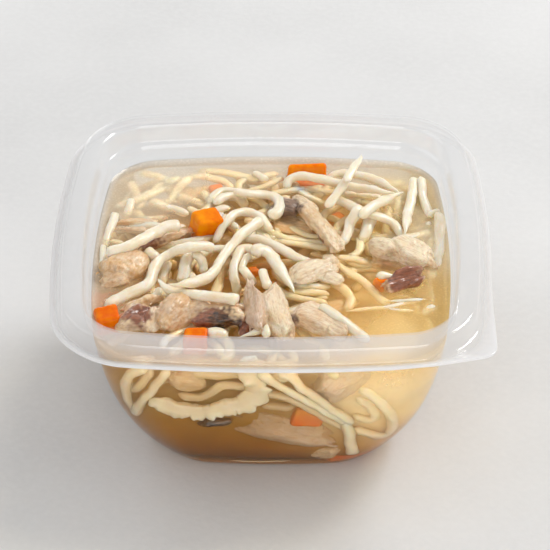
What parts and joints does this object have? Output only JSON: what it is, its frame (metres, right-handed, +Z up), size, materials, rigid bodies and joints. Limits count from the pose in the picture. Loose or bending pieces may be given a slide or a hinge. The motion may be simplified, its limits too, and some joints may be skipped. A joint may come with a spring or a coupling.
{
  "type": "chicken noodle soup",
  "caption": "Chicken noodle soup in an open, square, clear plastic take-away tub with rounded corners, a stepped rim and a corner pull tab.",
  "frame": {"origin": "middle of the tub's underside, at the level it stands on", "axes": "+Z up; -Y is the front of the tub; the pull tab is at the corner towards +X and -Y"},
  "size_m": [0.1398, 0.1398, 0.068],
  "materials": {
    "clear_plastic": "translucent, slightly milky, glossy",
    "broth": "clear golden liquid",
    "noodle": "wet, cream-coloured",
    "chicken": "moist, fibrous, browned in places",
    "carrot": "wet, bright orange"
  },
  "bodies": {
    "root": {"tub": "clear_plastic", "broth": "broth", "noodles": "noodle", "chicken_left": "chicken", "chicken_strands": "chicken", "chicken_corner": "chicken", "chicken_roasted": "chicken", "chicken_front": "chicken", "chicken_pale": "chicken", "chicken_middle": "chicken", "chicken_strip": "chicken", "chicken_right": "chicken", "chicken_dark": "chicken", "carrot_back": "carrot", "carrot_centre": "carrot", "carrot_corner": "carrot", "carrot_front": "carrot", "carrot_small": "carrot"}
  },
  "joints": []
}
